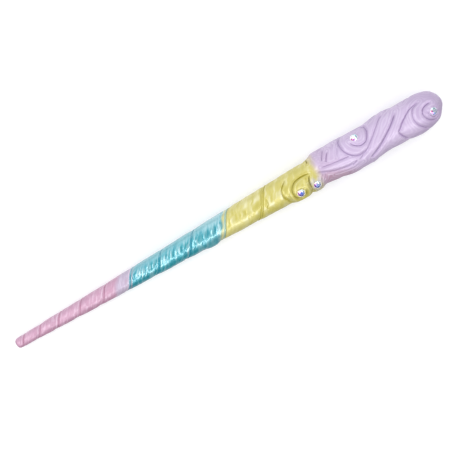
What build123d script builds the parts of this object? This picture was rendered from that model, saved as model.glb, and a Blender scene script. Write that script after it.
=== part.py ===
from build123d import *
import math
import os

# A painted fantasy wand, 330 mm long: a horn-like shaft in three cast sections wound with a spiral bead,
# a grip of twisted strands, four rolled scrolls let into them, and a faceted stone in the eye of each scroll.
#
# The wand is modelled with its axis along +X, tip at x = 0 and butt at x = LENGTH. It is then laid down so that
# its tip and its thick end both rest on z = 0, with the origin at the centre of its footprint.

# Driving dimensions, in millimetres.
LENGTH = 330.0
TIP_RADIUS = 3.5
SHAFT_TAPER = 0.0305  # radius gained per millimetre of length
MIDDLE_START = 89.6
UPPER_START = 163.7
GRIP_START = 234.0

# After n turns, the bead is at the front of the shaft, at x = BEAD_START + BEAD_PITCH * n + BEAD_STRETCH * n * n.
BEAD_RADIUS = 0.75
BEAD_START = 5.7
BEAD_PITCH = 11.89
BEAD_STRETCH = 0.978
BEAD_TURNS = 10.2
BEAD_POINTS_PER_TURN = 8

COLLAR_RADIUS = 11.7
GRIP_RADIUS = 12.7
BARREL_START = 262.0
BARREL_END = 303.0
DOME_START = 321.5
DOME_RADIUS = 10.8

STRAND_COUNT = 9
STRAND_PITCH = 103.7  # length in which a strand goes once round
STRAND_DEPTH = 1.7
STRAND_SPARE = 0.6  # how far the strands' crests pass outside the barrel before they are trimmed to it

ROD_RADIUS = 1.5
ROD_START = 14.0
ROD_END = 305.0
ROD_GAP = 0.05
ROD_CHAMFER = 0.4
KEY_GROOVES = (20.0, 100.0, 180.0, 255.0, 275.0, 295.0)
KEY_WIDTH = 2.0
KEY_DEPTH = 0.25

REST_FLAT = 0.35  # depth of the flats that keep the wand from rolling where it lies

SCROLL_PROUD = 1.1
SCROLL_DEPTH = 2.6
SPIRAL_DEPTH = 0.8
SPIRAL_WIDTH = 0.7
SPIRAL_STEP = 1.15  # radius lost in each half turn
PLUG_REACH = 12.0

STONE_RADIUS = 2.35
TABLE_RADIUS = 1.32
TABLE_HEIGHT = 1.05
CROWN_RADIUS = 1.88
CROWN_HEIGHT = 0.72
GIRDLE_TOP = 0.22
GIRDLE_BASE = 0.08
CULET_DEPTH = 1.75
CROWN_FACETS = 8

SEAT_GAP = 0.12
SEAT_DEPTH = 2.2
SEAT_REACH = 4.0
ADHESIVE_RISE = 0.18

# Each scroll: its name, the x and y of its eye, the way it faces, its radius, and the piece it is let into.
SCROLLS = [
    ("butt", 320.4, -3.8, (0.36, -0.16, 0.92), 9.6, "grip"),
    ("grip", 266.0, 7.3, (0.0, 0.45, 0.89), 10.0, "grip"),
    ("collar", 217.9, -7.2, (0.0, -0.46, 0.89), 7.4, "upper_section"),
    ("small", 230.0, -7.6, (0.0, -0.46, 0.89), 3.9, "upper_section"),
]


def shaft_radius(x):
    """Radius of the plain tapered shaft at x."""
    return TIP_RADIUS + SHAFT_TAPER * x


def bead_point(turns):
    """The bead's centre line after a number of turns: left-handed, and at the front after each whole turn."""
    x = BEAD_START + BEAD_PITCH * turns + BEAD_STRETCH * turns * turns
    angle = 2 * math.pi * turns
    return (x, shaft_radius(x) * math.sin(angle), shaft_radius(x) * math.cos(angle))


def shaft_blank(grow=0.0):
    """The tapered shaft with its rounded tip, up to the grip, grown outwards by grow."""
    nose = (-grow, 0, 0)
    shoulder = (TIP_RADIUS, 0, shaft_radius(TIP_RADIUS) + grow)
    rim = (GRIP_START, 0, shaft_radius(GRIP_START) + grow)
    centre = (GRIP_START, 0, 0)
    rounded_tip = TangentArc(nose, shoulder, tangent=(0, 0, 1))
    outline = [rounded_tip, Line(shoulder, rim), Line(rim, centre), Line(centre, nose)]
    return revolve(make_face(outline), Axis.X)


def grip_blank(grow=0.0):
    """The grip's smooth outer shape: a swelling barrel with a domed butt, grown outwards by grow."""
    rim = (GRIP_START, 0, COLLAR_RADIUS + grow)
    butt = (LENGTH + grow, 0, 0)
    centre = (GRIP_START, 0, 0)
    barrel = Spline(
        rim,
        (BARREL_START, 0, GRIP_RADIUS + grow),
        (BARREL_END, 0, GRIP_RADIUS + grow),
        (DOME_START, 0, DOME_RADIUS + grow),
        butt,
        tangents=((1, 0, 0.1), (0, 0, -1)),
    )
    return revolve(make_face([barrel, Line(butt, centre), Line(centre, rim)]), Axis.X)


def blank_of(host, grow):
    """The smooth outer shape of the piece that a scroll is let into, grown outwards by grow."""
    return grip_blank(grow) if host == "grip" else shaft_blank(grow)


def round_bar(radius, start, end):
    """A plain round bar on the wand's axis."""
    return Pos((start + end) / 2, 0, 0) * Rotation(0, 90, 0) * Cylinder(radius, end - start)


def core_rod():
    """The steel rod that the cast pieces are threaded on: chamfered ends, and grooves that key the adhesive."""
    bar = round_bar(ROD_RADIUS, ROD_START, ROD_END)
    bar = chamfer(bar.edges().filter_by(GeomType.CIRCLE), ROD_CHAMFER)
    for x in KEY_GROOVES:
        end = x + KEY_WIDTH
        bar -= round_bar(2 * ROD_RADIUS, x, end) - round_bar(ROD_RADIUS - KEY_DEPTH, x, end)
    return bar


def rod_bore():
    """The bore that the core rod lies in, blind at both ends."""
    return round_bar(ROD_RADIUS + ROD_GAP, ROD_START, ROD_END)


def beaded_shaft():
    """The whole shaft with its spiral bead, before it is divided into sections."""
    points = int(BEAD_TURNS * BEAD_POINTS_PER_TURN)
    path = Spline(*[bead_point(i / BEAD_POINTS_PER_TURN) for i in range(points + 1)])
    profile = Plane(origin=path @ 0, z_dir=path % 0) * Circle(BEAD_RADIUS)
    return shaft_blank() + sweep(profile, path=path, is_frenet=True)


def shaft_section(shaft, start, end):
    """The cast section of the shaft between two planes across the axis, bored for the rod."""
    size = 4 * GRIP_RADIUS
    cast = shaft & Pos((start + end) / 2, 0, 0) * Box(end - start, size, size)
    return cast - rod_bore()


def strand_ring():
    """The outline of the bundled strands where the grip starts: one arc for each strand."""
    crest = GRIP_RADIUS + STRAND_SPARE
    valley = crest - STRAND_DEPTH
    step = 2 * math.pi / STRAND_COUNT

    def at(radius, strands):
        return (GRIP_START, radius * math.cos(strands * step), radius * math.sin(strands * step))

    strands = range(STRAND_COUNT)
    return Wire([ThreePointArc(at(valley, i), at(crest, i + 0.5), at(valley, i + 1)) for i in strands])


def grip():
    """The left-handed bundle of strands, trimmed to the barrel's shape and bored for the rod."""
    length = LENGTH - GRIP_START
    turn = -360 * length / STRAND_PITCH
    bundle = Solid.extrude_linear_with_rotation(strand_ring(), (GRIP_START, 0, 0), (length, 0, 0), turn)
    return (bundle & grip_blank()) - rod_bore()


def scroll_plane(x, y, facing, host):
    """The plane across a scroll's axis, at its eye, where that stands proud of the piece it is let into."""
    ray = Line((x, y, 0), (x, y, 3 * GRIP_RADIUS))
    eye = (ray & blank_of(host, SCROLL_PROUD)).vertices().sort_by(Axis.Z)[-1]
    return Plane(origin=eye.center(), x_dir=(1, 0, -facing[0] / facing[2]), z_dir=facing)


def scroll_plug(plane, radius):
    """A round bar on a scroll's axis, long enough to pass right through the skin of its piece."""
    return plane * Cylinder(radius, 2 * PLUG_REACH)


def spiral_wall(plane, radius):
    """A tall wall on a spiral of half rings, each tighter than the last, that cuts a scroll's groove."""
    inner = STONE_RADIUS + SEAT_GAP + SPIRAL_WIDTH
    half_rings = math.ceil((radius - inner) / SPIRAL_STEP)
    wall = None
    for i in range(half_rings):
        mean = radius - SPIRAL_STEP * (i + 0.5)
        side = 1 if i % 2 else -1
        ring = Circle(mean + SPIRAL_WIDTH / 2) - Circle(mean - SPIRAL_WIDTH / 2)
        half = ring & Pos(0, side * radius) * Rectangle(2 * radius, 2 * radius)
        half = Pos(-SPIRAL_STEP * (i % 2), 0) * half
        wall = half if wall is None else wall + half
    return plane * extrude(wall, amount=PLUG_REACH, both=True)


def stone_seat(plane):
    """The drilled seat that holds a stone and its adhesive."""
    drill = Cylinder(STONE_RADIUS + SEAT_GAP, SEAT_REACH + SEAT_DEPTH)
    return plane * Pos(0, 0, (SEAT_REACH - SEAT_DEPTH) / 2) * drill


def scroll(plane, radius, host):
    """A rolled scroll: a disc that follows its piece's curve, with a spiral groove and its stone's seat."""
    disc = (scroll_plug(plane, radius) & blank_of(host, SCROLL_PROUD)) - blank_of(host, -SCROLL_DEPTH)
    groove = spiral_wall(plane, radius) - blank_of(host, SCROLL_PROUD - SPIRAL_DEPTH)
    return disc - groove - stone_seat(plane)


def facet_ring(count, radius, height, offset=0.0):
    """Points evenly spaced on a circle, turned by offset of a step."""
    angles = [2 * math.pi * (i + offset) / count for i in range(count)]
    return [Vector(radius * math.cos(a), radius * math.sin(a), height) for a in angles]


def stone(plane):
    """A round faceted stone: a flat table, triangular crown facets, a thin girdle and a point below."""
    belt = 2 * CROWN_FACETS
    table = facet_ring(CROWN_FACETS, TABLE_RADIUS, TABLE_HEIGHT, 0.5)
    crown = facet_ring(CROWN_FACETS, CROWN_RADIUS, CROWN_HEIGHT)
    top = facet_ring(belt, STONE_RADIUS, GIRDLE_TOP)
    base = facet_ring(belt, STONE_RADIUS, GIRDLE_BASE)
    culet = Vector(0, 0, -CULET_DEPTH)
    facets = [table]
    for i in range(CROWN_FACETS):
        j = (i + 1) % CROWN_FACETS
        facets.append([table[i], crown[i], crown[j]])
        facets.append([table[i], table[j], crown[j]])
        facets.append([crown[i], top[2 * i], top[2 * i + 1]])
        facets.append([crown[i], top[2 * i + 1], crown[j]])
        facets.append([crown[j], top[2 * i + 1], top[2 * j]])
    for i in range(belt):
        j = (i + 1) % belt
        facets.append([top[i], top[j], base[j], base[i]])
        facets.append([base[i], base[j], culet])
    return plane * Solid(Shell([Face(Wire.make_polygon(points)) for points in facets]))


def adhesive(plane, set_stone):
    """The cured adhesive between a stone and its seat, with a low collar round the girdle."""
    height = SEAT_DEPTH + ADHESIVE_RISE
    cup = Pos(0, 0, (ADHESIVE_RISE - SEAT_DEPTH) / 2) * Cylinder(STONE_RADIUS + SEAT_GAP, height)
    return plane * cup - set_stone


def build_wand():
    """Every piece by name, with the wand's axis along +X."""
    shaft = beaded_shaft()
    parts = {
        "core_rod": core_rod(),
        "tip_section": shaft_section(shaft, -1, MIDDLE_START),
        "middle_section": shaft_section(shaft, MIDDLE_START, UPPER_START),
        "upper_section": shaft_section(shaft, UPPER_START, GRIP_START),
        "grip": grip(),
    }
    for name, x, y, facing, radius, host in SCROLLS:
        plane = scroll_plane(x, y, facing, host)
        set_stone = stone(plane)
        parts[host] -= scroll_plug(plane, radius) - blank_of(host, -SCROLL_DEPTH)
        parts[f"{name}_scroll"] = scroll(plane, radius, host)
        parts[f"{name}_stone"] = set_stone
        parts[f"{name}_adhesive"] = adhesive(plane, set_stone)
    return parts


def laid_down(parts):
    """Tilts the wand until the bead at its tip and its barrel both touch a plane, rubs small flats on them
    there, and puts that plane at z = 0, with the footprint centred over the origin."""
    rise = GRIP_RADIUS - TIP_RADIUS - BEAD_RADIUS / 2
    tilt = math.degrees(math.asin(rise / BARREL_START))
    tilted = {name: Rotation(0, -tilt, 0) * part for name, part in parts.items()}
    box = Compound(list(tilted.values())).bounding_box()
    floor = box.min.Z + REST_FLAT
    under = Pos(LENGTH / 2, 0, floor - GRIP_RADIUS) * Box(2 * LENGTH, 4 * GRIP_RADIUS, 2 * GRIP_RADIUS)
    for name in ("tip_section", "middle_section", "grip"):
        tilted[name] -= under
    shift = Pos(-box.center().X, -box.center().Y, -floor)
    return {name: shift * part for name, part in tilted.items()}


if __name__ == "__main__":
    os.makedirs("parts", exist_ok=True)
    for name, part in laid_down(build_wand()).items():
        export_step(part, f"parts/{name}.step")
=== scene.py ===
"""The looks of a painted fantasy wand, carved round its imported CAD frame.

Lengths are in millimetres in the wand's own frame: x runs along the axis from the tip to the butt, y across
it, and z out of the carved front. An angle round the wand is 0 at the front, and a quarter turn at +y.
place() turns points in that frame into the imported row's metres. The floor, cards, lamps and camera are in
metres."""

import math
from collections import namedtuple

import bpy
import numpy as np
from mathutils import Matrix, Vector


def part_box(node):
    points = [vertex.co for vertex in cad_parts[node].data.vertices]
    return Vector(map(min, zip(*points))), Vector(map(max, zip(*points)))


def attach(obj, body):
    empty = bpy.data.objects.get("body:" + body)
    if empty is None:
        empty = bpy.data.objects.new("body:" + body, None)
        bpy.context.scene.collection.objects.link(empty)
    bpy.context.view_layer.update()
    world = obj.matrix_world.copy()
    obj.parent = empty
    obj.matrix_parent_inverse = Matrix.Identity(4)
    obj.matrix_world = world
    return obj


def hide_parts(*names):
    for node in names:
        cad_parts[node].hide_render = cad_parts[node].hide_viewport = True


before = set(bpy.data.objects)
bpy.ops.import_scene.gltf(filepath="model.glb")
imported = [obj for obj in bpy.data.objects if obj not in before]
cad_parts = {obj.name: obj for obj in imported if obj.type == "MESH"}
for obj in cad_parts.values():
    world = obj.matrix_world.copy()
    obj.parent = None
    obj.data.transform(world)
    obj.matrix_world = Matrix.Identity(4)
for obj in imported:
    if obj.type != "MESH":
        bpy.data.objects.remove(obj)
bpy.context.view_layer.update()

# ---- the wand's frame in the row

MM = 0.001
ROD_MIDDLE_X = 159.5
ROD_DIAMETER = 3.0

rod_low, rod_high = (np.array(corner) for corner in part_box("core_rod"))
ROD_MIDDLE = (rod_low + rod_high) / 2
TILT = math.atan2(rod_high[2] - rod_low[2] - ROD_DIAMETER * MM, rod_high[0] - rod_low[0])
ALONG = np.array((math.cos(TILT), 0.0, math.sin(TILT)))
ACROSS = np.array((0.0, 1.0, 0.0))
OUTWARD = np.array((-math.sin(TILT), 0.0, math.cos(TILT)))


def place(points):
    """Points in the wand's frame, in millimetres, as points in the row's frame, in metres."""
    points = np.asarray(points, float)
    x, y, z = points[..., 0:1] - ROD_MIDDLE_X, points[..., 1:2], points[..., 2:3]
    return ROD_MIDDLE + MM * (x * ALONG + y * ACROSS + z * OUTWARD)


def unplace(points):
    """Points in the row's frame, in metres, as points in the wand's frame, in millimetres."""
    offset = (np.asarray(points, float) - ROD_MIDDLE) / MM
    return np.stack((offset @ ALONG + ROD_MIDDLE_X, offset @ ACROSS, offset @ OUTWARD), axis=-1)


# ---- small tools

NOISE_CELLS = 32
TINY = 1e-12


def smoothstep(low, high, value):
    """0 below low, 1 above high, and an ease between; low may be the larger of the two."""
    t = np.clip((value - low) / (high - low), 0, 1)
    return t * t * (3 - 2 * t)


def band(value, rise, fall):
    """0, then 1 after the rise, then 0 again after the fall, where each is a start and an end."""
    return smoothstep(*rise, value) * (1 - smoothstep(*fall, value))


def bump(distance, width):
    """A bell curve: 1 at no distance, and almost 0 at twice the width."""
    return np.exp(-((distance / width) ** 2))


def wrapped(angle):
    """An angle brought to within half a turn of the front."""
    return (angle + np.pi) % (2 * np.pi) - np.pi


def smooth_curve(points, step):
    """A curve through given points of any dimension, sampled about every step of its length."""
    points = np.asarray(points, float)
    at = np.concatenate(([0], np.cumsum(np.linalg.norm(np.diff(points, axis=0), axis=1))))
    slope = np.empty_like(points)
    slope[1:-1] = (points[2:] - points[:-2]) / (at[2:] - at[:-2])[:, None]
    slope[0] = (points[1] - points[0]) / (at[1] - at[0])
    slope[-1] = (points[-1] - points[-2]) / (at[-1] - at[-2])
    where = np.linspace(0, at[-1], max(2, int(at[-1] / step) + 1))
    i = np.clip(np.searchsorted(at, where, side="right") - 1, 0, len(points) - 2)
    span = (at[i + 1] - at[i])[:, None]
    t = (where[:, None] - at[i][:, None]) / span
    near, far = 2 * t**3 - 3 * t**2 + 1, 3 * t**2 - 2 * t**3
    lead, trail = t**3 - 2 * t**2 + t, t**3 - t**2
    return near * points[i] + far * points[i + 1] + span * (lead * slope[i] + trail * slope[i + 1])


def noise(x, y, z, seed, wrap=NOISE_CELLS):
    """Smooth random values from -1 to 1, one cell to the unit, that repeat along x every wrap cells."""
    table = np.random.default_rng(seed).uniform(-1, 1, (NOISE_CELLS,) * 3)
    x, y, z = np.broadcast_arrays(x, y, z)
    total = np.zeros(x.shape)
    floors = [np.floor(value).astype(int) for value in (x, y, z)]
    parts = [value - low for value, low in zip((x, y, z), floors)]
    parts = [p * p * (3 - 2 * p) for p in parts]
    sizes = (wrap, NOISE_CELLS, NOISE_CELLS)
    for corner in np.ndindex(2, 2, 2):
        index = tuple((low + step) % size for low, step, size in zip(floors, corner, sizes))
        weight = np.ones(x.shape)
        for p, step in zip(parts, corner):
            weight = weight * (p if step else 1 - p)
        total += weight * table[index]
    return total


def round_noise(x, angle, cell, around, seed):
    """Noise over the wand, with cells of a given length along it, and so many to its radius."""
    return noise(x / cell, np.cos(angle) * around, np.sin(angle) * around, seed)


# ---- the smooth body

TIP_RADIUS = 3.5
SHAFT_TAPER = 0.0305
TIP_ROUNDING = 2.6
TIP_FULLNESS = 0.75
TIP_ANGLES = (0, 15, 35, 60, 90)
SHAFT_ROW_STEP = 12.0

# Outline rows: x and radius on the +y side, then x and radius on the -y side.
GRIP_OUTLINE = [
    (224.0, 10.3, 224.0, 10.2),
    (230.5, 10.5, 230.5, 10.2),
    (233.5, 11.3, 233.5, 10.2),
    (236.0, 12.6, 236.0, 10.2),
    (240.0, 12.8, 240.0, 10.5),
    (247.0, 12.8, 247.5, 11.6),
    (254.0, 12.8, 254.5, 13.0),
    (260.0, 12.7, 259.5, 13.4),
    (266.0, 12.4, 266.0, 13.1),
    (273.0, 12.2, 272.5, 13.2),
    (279.5, 12.8, 278.0, 12.4),
    (286.0, 13.6, 283.5, 11.8),
    (291.5, 13.7, 293.0, 12.2),
    (299.0, 12.9, 299.0, 12.2),
    (305.0, 12.8, 303.0, 12.9),
    (311.0, 12.8, 308.5, 13.3),
    (318.0, 12.3, 316.5, 12.3),
    (324.6, 10.2, 323.6, 9.8),
    (328.5, 6.3, 327.0, 6.1),
    (330.0, 2.6, 329.4, 2.9),
    (330.2, 0.0, 330.2, 0.0),
]
PROFILE_STEP = 0.2

# The step along and the turn round the wand over which a normal is measured, and the least cross product that
# still gives one.
NORMAL_STEP = 0.4
NORMAL_TURN = 0.02
LEAST_PRODUCT = 1e-7


def outline_rows():
    """The whole outline: a blunt rounded tip, the straight taper, and the grip."""
    rows = []
    for angle in np.radians(TIP_ANGLES):
        x = TIP_ROUNDING * (1 - math.cos(angle))
        radius = (TIP_RADIUS + SHAFT_TAPER * TIP_ROUNDING) * math.sin(angle) ** TIP_FULLNESS
        rows.append((x, radius, x, radius))
    for x in np.arange(SHAFT_ROW_STEP, GRIP_OUTLINE[0][0], SHAFT_ROW_STEP):
        radius = TIP_RADIUS + SHAFT_TAPER * x
        rows.append((x, radius, x, radius))
    return rows + GRIP_OUTLINE


PROFILE = smooth_curve(outline_rows(), PROFILE_STEP)
STATIONS = np.concatenate(([0], np.cumsum(np.linalg.norm(np.diff(PROFILE[:, :2], axis=0), axis=1))))
STATION_END = STATIONS[-1]


def station_of(x):
    """The station along the profile where the +y side reaches x."""
    return float(np.interp(x, PROFILE[:, 0], STATIONS))


def body(station, angle):
    """Points on the smooth body."""
    x_top, r_top, x_low, r_low = (np.interp(station, STATIONS, column) for column in PROFILE.T)
    top = (1 + np.sin(angle)) / 2
    x = x_top * top + x_low * (1 - top)
    radius = r_top * top + r_low * (1 - top)
    return np.stack((x, radius * np.sin(angle), radius * np.cos(angle)), axis=-1)


def body_normal(station, angle):
    """Outward unit normals of the smooth body."""
    low = np.clip(station - NORMAL_STEP, 0, STATION_END)
    high = np.clip(station + NORMAL_STEP, 0, STATION_END)
    along = body(high, angle) - body(low, angle)
    around = body(station, angle + NORMAL_TURN) - body(station, angle - NORMAL_TURN)
    product = np.cross(along, around)
    length = np.linalg.norm(product, axis=-1, keepdims=True)
    ends = np.where(station < STATION_END / 2, -1.0, 1.0)[..., None] * np.array((1.0, 0.0, 0.0))
    return np.where(length > LEAST_PRODUCT, product / np.maximum(length, TINY), ends)


# ---- the four eyes

TABLE_HEIGHT = 1.05  # a stone's flat top above its girdle

# The way each scroll faces, the radius that its lines are unrolled at, and the slot of its paint.
Eye = namedtuple("Eye", "facing arc_radius slot")
EYES = {
    "butt": Eye((0.36, -0.16, 0.92), 12.0, "lilac_pearl"),
    "grip": Eye((0.0, 0.45, 0.89), 12.8, "lilac_pearl"),
    "collar": Eye((0.0, -0.46, 0.89), 10.15, "yellow_pearl"),
    "small": Eye((0.0, -0.46, 0.89), 10.5, "yellow_pearl"),
}


def eye_axes(facing):
    """Right, up and outward unit vectors of a scroll's plane."""
    outward = np.array(facing) / np.linalg.norm(facing)
    right = np.array((outward[2], 0.0, -outward[0])) / math.hypot(outward[0], outward[2])
    return np.array((right, np.cross(outward, right), outward))


AXES = {name: eye_axes(eye.facing) for name, eye in EYES.items()}


def eye_middle(name):
    """The middle of a stone's girdle plane, from the stone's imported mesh."""
    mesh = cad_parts[f"{name}_stone"].data
    corners = unplace([tuple(vertex.co) for vertex in mesh.vertices]) @ AXES[name].T
    low, high = corners.min(axis=0), corners.max(axis=0)
    return np.array(((low[0] + high[0]) / 2, (low[1] + high[1]) / 2, high[2] - TABLE_HEIGHT)) @ AXES[name]


MIDDLES = {name: eye_middle(name) for name in EYES}


def from_eye(name, points):
    """Right, up and outward distances of points from an eye."""
    return (points - MIDDLES[name]) @ AXES[name].T


def unrolled_eye(name):
    """A stone's x, and how far round the wand it is, along an arc of its scroll's unrolled radius."""
    x, y, z = MIDDLES[name]
    return x, EYES[name].arc_radius * math.atan2(y, z)


# ---- lines carved in the surface

LINE_STEP = 0.6
FRONT_ROUNDS = 30
FRONT_EDGE = 0.995
LEAST_RADIUS = 0.01


def surface_from_round(x, angle):
    """The station and angle of the body's surface at x and an angle round the axis."""
    top = (1 + np.sin(angle)) / 2
    stations = [
        np.interp(at, PROFILE[:, 0] * t + PROFILE[:, 2] * (1 - t), STATIONS) for at, t in zip(x, top)
    ]
    return np.array(stations), angle


def surface_from_front(x, y):
    """The station and angle of the point of the body's front that is seen at x and y."""
    angle = np.zeros(len(x))
    for _ in range(FRONT_ROUNDS):
        station, angle = surface_from_round(x, angle)
        radius = np.maximum(np.linalg.norm(body(station, angle)[:, 1:], axis=1), LEAST_RADIUS)
        angle = (angle + np.arcsin(np.clip(y / radius, -FRONT_EDGE, FRONT_EDGE))) / 2
    return surface_from_round(x, angle)


def front_line(*points):
    """A line through points given by x and y, as seen from the front."""
    x, y = smooth_curve(points, LINE_STEP).T
    return body(*surface_from_front(x, y))


def round_line(*points):
    """A line through points given by x and the angle round the wand in degrees."""
    x, degrees = smooth_curve(points, LINE_STEP).T
    return body(*surface_from_round(x, np.radians(degrees)))


def coil_points(name, *points):
    """Unrolled x and arc of points given by their direction from an eye, in degrees, and distance."""
    degrees, distance = np.array(points, float).T
    middle_x, middle_arc = unrolled_eye(name)
    x = middle_x + distance * np.cos(np.radians(degrees))
    arc = middle_arc + distance * np.sin(np.radians(degrees))
    return smooth_curve(np.stack((x, arc), axis=1), LINE_STEP)


GRIP_COIL = [
    (-64, 11.0), (-80, 12.0), (-106, 12.1), (-140, 11.4), (-172, 10.9), (-205, 11.4), (-235, 12.0),
    (-280, 12.2), (-319, 11.7), (-340, 10.4), (-360, 9.4), (-402, 8.2), (-433, 6.8), (-460, 5.4),
    (-490, 4.6), (-530, 4.3),
]
COLLAR_BORDER = [
    (110, 14.5), (124, 13.8), (137, 13.5), (148, 13.1), (160, 12.2), (173, 11.2), (189, 9.9), (220, 9.3),
    (250, 9.3), (280, 9.2), (310, 8.8), (335, 8.3), (352, 8.2),
]
COLLAR_COIL = [
    (36, 14.5), (48, 12.5), (65, 10.5), (88, 8.9), (108, 7.6), (132, 6.5), (157, 5.5), (190, 4.7),
    (236, 4.6), (273, 4.8), (308, 4.4), (343, 3.9), (376, 3.5),
]
BUTT_BORDER = [
    (315.2, 6.9), (311.8, 6.0), (309.1, 4.7), (307.5, 2.7), (306.4, -0.4), (306.4, -4.4), (307.8, -7.8),
    (310.5, -10.5), (313.2, -12.2),
]

# A line's points, its depth, its reach to either side, the lengths over which its two ends fade, and whether
# the fine grain beside the carved lines follows it.
Line = namedtuple("Line", "points depth reach fade_in fade_out grain")


def front(depth, reach, fade_in, fade_out, *points, grain=True):
    """A carved line through points given by x and y, as seen from the front."""
    return Line(front_line(*points), depth, reach, fade_in, fade_out, grain)


def coil(name, depth, reach, fade_in, fade_out, *points):
    """A carved line coiling round an eye, through points given by direction in degrees and distance."""
    x, arc = coil_points(name, *points).T
    line = body(*surface_from_round(x, arc / EYES[name].arc_radius))
    return Line(line, depth, reach, fade_in, fade_out, True)


STRAND_PITCH = 103.7
STRAND_STEP = 0.125
STRAND_PHASE = 2.895
BACK_STRANDS = 12
BACK_RANGE = (62, 298)
BACK_ENDS = (239, 318)
BACK_POINTS = 8
SHORTEST_STRAND = 30
WANDER = 1.6
WANDER_RATE = 1.7
WANDER_SHIFT = 80
BACK_LINE = (0.85, 3.4, 4, 4, True)


def back_strands():
    """The grip's strands round the back, from one side of the carved front to the other."""
    lines = []
    for k in range(BACK_STRANDS):
        phase = STRAND_PHASE - STRAND_STEP * k
        start = max(BACK_RANGE[0], 360 * (BACK_ENDS[0] / STRAND_PITCH - phase))
        stop = min(BACK_RANGE[1], 360 * (BACK_ENDS[1] / STRAND_PITCH - phase))
        if stop - start < SHORTEST_STRAND:
            continue
        degrees = np.linspace(start, stop, BACK_POINTS)
        wander = WANDER * np.sin(np.radians(degrees * WANDER_RATE + WANDER_SHIFT * k))
        x = STRAND_PITCH * (phase + degrees / 360) + wander
        lines.append(Line(round_line(*zip(x, degrees)), *BACK_LINE))
    return lines


NOTCHES = ((236.8, 10.6), (237.2, 9.0), (237.6, 7.3), (238.2, 5.4))
NOTCH_RUN = (3.4, -1.1)
NOTCH_LINE = (0.3, 0.7, 1, 1)


def notches():
    """The short cuts across the start of the grip."""
    run_x, run_y = NOTCH_RUN
    return [front(*NOTCH_LINE, (x, y), (x + run_x, y + run_y)) for x, y in NOTCHES]


LINES = [
    # The grip's scroll, and the strands that pass under it.
    coil("grip", 1.2, 3.3, 4, 3, *GRIP_COIL),
    front(0.9, 3.2, 3, 2, (262.0, -7.8), (265.4, -6.2), (269.4, -4.2), (273.4, -1.2), (277.5, 2.2),
          (281.5, 5.9), (286.2, 9.9), (289.6, 11.7)),
    front(1.0, 1.6, 1, 1, (256.6, -8.6), (259.0, -7.6), (261.0, -7.1)),
    front(1.6, 3.6, 1.5, 6, (270.4, -10.4), (271.4, -9.9), (274.8, -8.6), (278.8, -6.6), (282.9, -3.9),
          (286.9, -0.9), (291.0, 2.3), (295.0, 5.8), (298.6, 9.2)),
    # The butt's scroll: its border, and two turns inside it.
    front(1.05, 2.7, 4, 3, *BUTT_BORDER),
    front(1.25, 2.3, 4, 4, (322.5, 2.0), (320.6, 2.6), (316.5, 1.9), (314.2, 0.3), (313.2, -1.8),
          (313.4, -4.1), (314.9, -6.8), (317.6, -8.7), (320.6, -9.2), (323.3, -8.2), (325.3, -5.9),
          (325.6, -3.6)),
    front(0.85, 1.5, 2, 2, (317.6, -1.4), (316.6, -3.2), (317.0, -5.4), (318.8, -6.9), (321.2, -7.0),
          (323.0, -5.6)),
    # The start of the grip, before its scroll.
    front(0.95, 2.6, 2, 3, (239.8, 4.1), (241.1, 6.8), (243.1, 9.5), (244.5, 11.2)),
    front(1.1, 1.7, 1, 3, (242.1, 2.4), (243.1, 4.4), (244.8, 6.8), (246.5, 8.8)),
    front(0.6, 2.6, 3, 3, (249.9, 1.0), (251.2, 4.0), (253.2, 7.4), (255.9, 10.1)),
    front(0.9, 2.4, 3, 2, (237.1, 1.4), (239.8, 0.4), (244.5, -0.3), (251.2, -1.2), (258.0, -2.0)),
    front(0.95, 2.8, 2, 3, (233.7, -0.2), (235.7, -1.6), (238.4, -3.1), (241.8, -4.7), (246.5, -6.2),
          (251.9, -7.2), (255.9, -7.6), (258.6, -7.5)),
    front(0.4, 2.4, 4, 4, (244.0, -8.2), (250.0, -9.4), (257.0, -10.2), (264.0, -9.6)),
    # The collar's scroll and the small scroll beside it.
    coil("collar", 1.1, 3.0, 4, 3, *COLLAR_BORDER),
    coil("collar", 1.5, 2.5, 5, 2, *COLLAR_COIL),
    front(0.6, 1.1, 1, 1, (225.6, 0.3), (224.3, -3.2)),
    front(0.7, 1.1, 1, 1, (228.0, -0.2), (225.6, -4.0)),
    front(1.0, 1.9, 1, 2, (228.3, 0.4), (227.0, -1.5), (226.0, -3.5), (225.6, -5.9), (226.2, -8.3),
          (227.4, -9.9)),
    front(0.75, 1.4, 1, 1, (232.6, -9.6), (233.4, -8.4), (234.4, -6.6), (235.7, -4.6), (237.4, -2.9)),
    front(0.85, 1.3, 1, 2, (236.1, -1.2), (237.7, -2.6), (238.4, -3.6), (237.7, -5.4), (236.2, -7.4)),
    Line(round_line((231.2, 92), (231.2, 66), (230.8, 46)), 1.0, 1.1, 1, 2, True),
    # A nick in the yellow paint.
    front(0.55, 0.9, 1, 1, (195.3, 1.4), (195.4, -1.0), (195.3, -3.0), (193.3, -4.7), (194.6, -5.9)),
    # The edges of the fan between the strands and the butt's scroll.
    front(1.1, 3.2, 1, 5, (293.6, -4.7), (295.7, -3.0), (298.4, -0.3), (301.1, 1.8), (304.4, 4.1),
          (307.8, 5.9), (311.2, 6.6), (315.2, 6.9), grain=False),
    front(1.1, 2.8, 1, 2, (293.6, -4.7), (294.3, -6.7), (295.7, -9.1), (297.7, -11.3), grain=False),
]
LINES += notches() + back_strands()

VALLEY_POWER = 3
CREASE_WIDTH = 0.42
GRAIN_REACH = 9.0
GRAIN_POWER = 5
GRAIN_SOFTNESS = 0.15
NO_GRAIN = 50


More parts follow.
